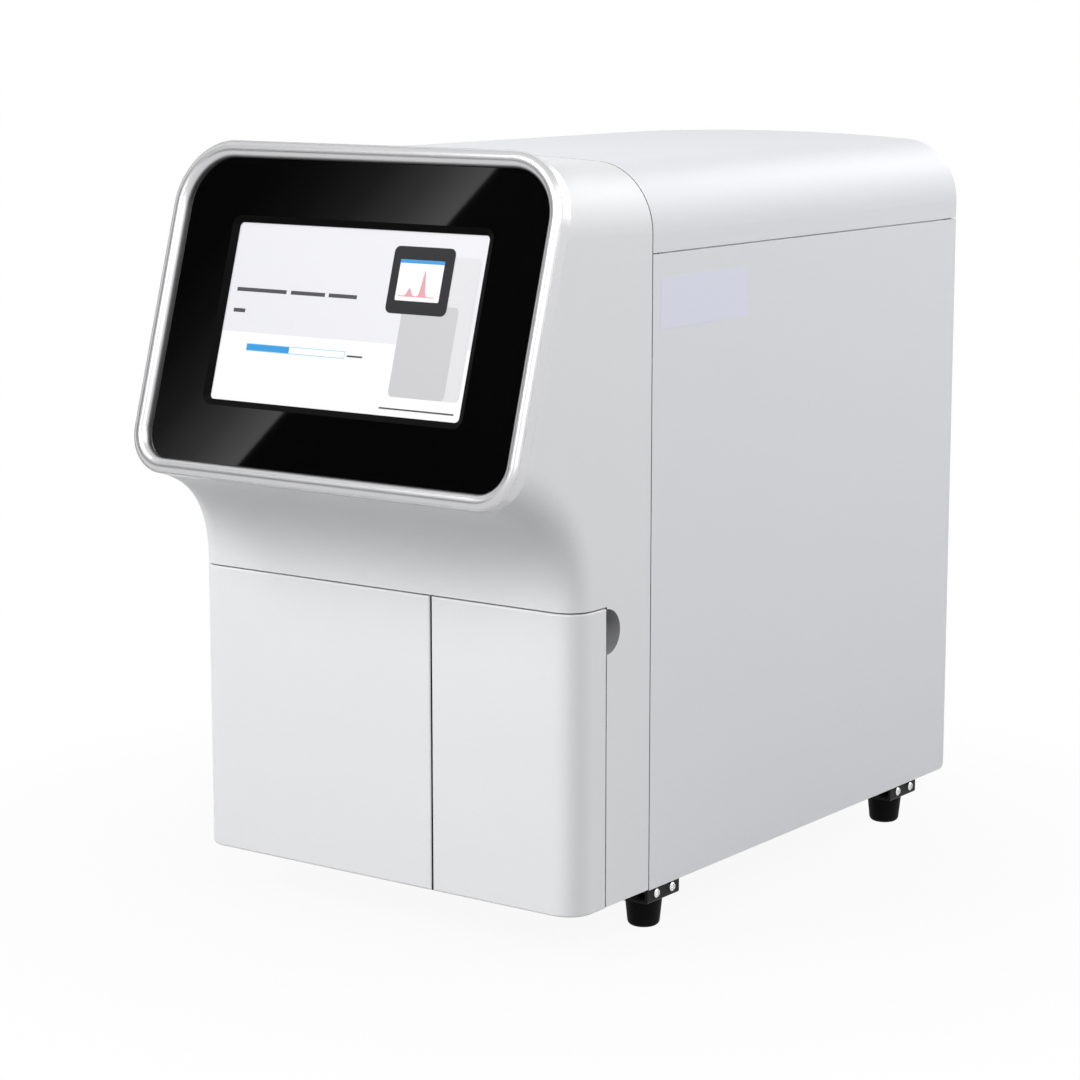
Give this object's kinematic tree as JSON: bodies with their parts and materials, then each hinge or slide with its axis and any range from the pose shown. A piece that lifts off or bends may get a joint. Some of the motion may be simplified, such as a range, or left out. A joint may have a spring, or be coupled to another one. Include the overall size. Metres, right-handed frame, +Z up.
{
  "type": "hplc analyzer",
  "caption": "Benchtop chromatography analyzer with a tilted touch screen, two hinged front doors over sampler and fluidics bays, and rubber feet on angle brackets.",
  "frame": {"origin": "on the floor under the middle of the instrument's overall box", "axes": "+X to the instrument's left as it faces the user, which is the picture's right; -Y out of the front with the screen and doors; +Z up"},
  "size_m": [0.3, 0.5422, 0.4902],
  "materials": {
    "housing_plastic": "fine satin texture",
    "satin_chrome": "satin plated",
    "fascia_black": "high gloss",
    "display_panel": "lit screen",
    "circuit_board": "solder mask",
    "panel_paint": "satin powder coat",
    "zinc_steel": "zinc plated sheet",
    "liner_grey": "fine texture",
    "door_plastic": "fine satin texture",
    "bright_steel": "ground",
    "magnet_black": "satin",
    "bracket_black": "satin",
    "rubber_black": "moulded",
    "oven_aluminium": "bead blasted",
    "oven_cover_paint": "satin",
    "knob_black": "satin",
    "module_paint": "satin",
    "clear_glass": "polished",
    "rack_blue": "satin"
  },
  "bodies": {
    "cabinet": {"front_housing": "housing_plastic", "bezel_ring": "satin_chrome", "screen_fascia": "fascia_black", "lcd_touchscreen": "display_panel", "display_board": "circuit_board", "top_cover": "panel_paint", "side_panel_left": "panel_paint", "side_panel_right": "panel_paint", "rear_panel": "panel_paint", "base_tray": "bracket_black", "front_portal": "zinc_steel", "equipment_shelf": "zinc_steel", "bay_liner": "liner_grey", "door_magnets": "magnet_black", "left_front_bracket": "bracket_black", "left_front_foot": "rubber_black", "left_rear_bracket": "bracket_black", "left_rear_foot": "rubber_black", "right_front_bracket": "bracket_black", "right_front_foot": "rubber_black", "right_rear_bracket": "bracket_black", "right_rear_foot": "rubber_black", "bracket_screws": "bright_steel", "column_oven": "oven_aluminium", "column": "bright_steel", "pump_head": "bright_steel", "injection_valve": "bright_steel", "capillary_lines": "bright_steel", "syringe_drive": "module_paint", "syringe_barrel": "clear_glass", "tube_rack": "rack_blue", "wash_station": "knob_black", "sampler_rail": "oven_aluminium", "sampler_motor": "knob_black", "fan_frame": "knob_black", "fan_guard": "satin_chrome", "rear_screws": "bright_steel", "power_inlet": "knob_black", "switch_bezel": "knob_black", "interface_ports": "bright_steel", "fluid_ports": "rack_blue", "power_supply": "oven_aluminium", "main_board": "circuit_board", "detector_module": "module_paint", "degasser": "module_paint", "pump_module": "module_paint"},
    "left_door": {"left_door": "door_plastic", "left_hinge_pins": "bright_steel", "left_door_strike": "bright_steel"},
    "right_door": {"right_door": "door_plastic", "right_hinge_pins": "bright_steel", "right_door_strike": "bright_steel"},
    "oven_cover": {"oven_cover": "oven_cover_paint"},
    "purge_knob": {"purge_knob": "knob_black"},
    "syringe_plunger": {"syringe_plunger": "oven_aluminium"},
    "probe_carriage": {"probe_carriage": "module_paint"},
    "probe_arm": {"probe_arm": "oven_aluminium", "probe_needle": "bright_steel"},
    "fan_rotor": {"fan_rotor": "knob_black"},
    "power_rocker": {"power_rocker": "knob_black"}
  },
  "joints": [
    {"name": "left_door_hinge", "type": "hinge", "parent": "cabinet", "child": "left_door", "pos_m": [0.0181, -0.1999, 0.1239], "axis": [0, 0, 1], "range_deg": [0, 90]},
    {"name": "right_door_hinge", "type": "hinge", "parent": "cabinet", "child": "right_door", "pos_m": [0.0631, -0.1999, 0.1239], "axis": [0, 0, -1], "range_deg": [0, 90]},
    {"name": "oven_cover_hinge", "type": "hinge", "parent": "cabinet", "child": "oven_cover", "pos_m": [-0.08835, -0.1091, 0.1331], "axis": [1, 0, 0], "range_deg": [0, 90]},
    {"name": "purge_knob_turn", "type": "hinge", "parent": "cabinet", "child": "purge_knob", "pos_m": [-0.07435, -0.0824, 0.0825], "axis": [0, -1, 0], "range_deg": [0, 180]},
    {"name": "syringe_stroke", "type": "slide", "parent": "cabinet", "child": "syringe_plunger", "axis": [0, 0, -1], "range_m": [0, 0.026]},
    {"name": "probe_traverse", "type": "slide", "parent": "cabinet", "child": "probe_carriage", "axis": [0, -1, 0], "range_m": [0, 0.088]},
    {"name": "probe_lift", "type": "slide", "parent": "probe_carriage", "child": "probe_arm", "axis": [0, 0, -1], "range_m": [0, 0.06]},
    {"name": "fan_spin", "type": "hinge", "parent": "cabinet", "child": "fan_rotor", "pos_m": [-0.075, 0.2371, 0.3605], "axis": [0, 1, 0], "continuous": true},
    {"name": "power_switch", "type": "hinge", "parent": "cabinet", "child": "power_rocker", "pos_m": [0.1, 0.2486, 0.1425], "axis": [-1, 0, 0], "range_deg": [0, 20]}
  ]
}
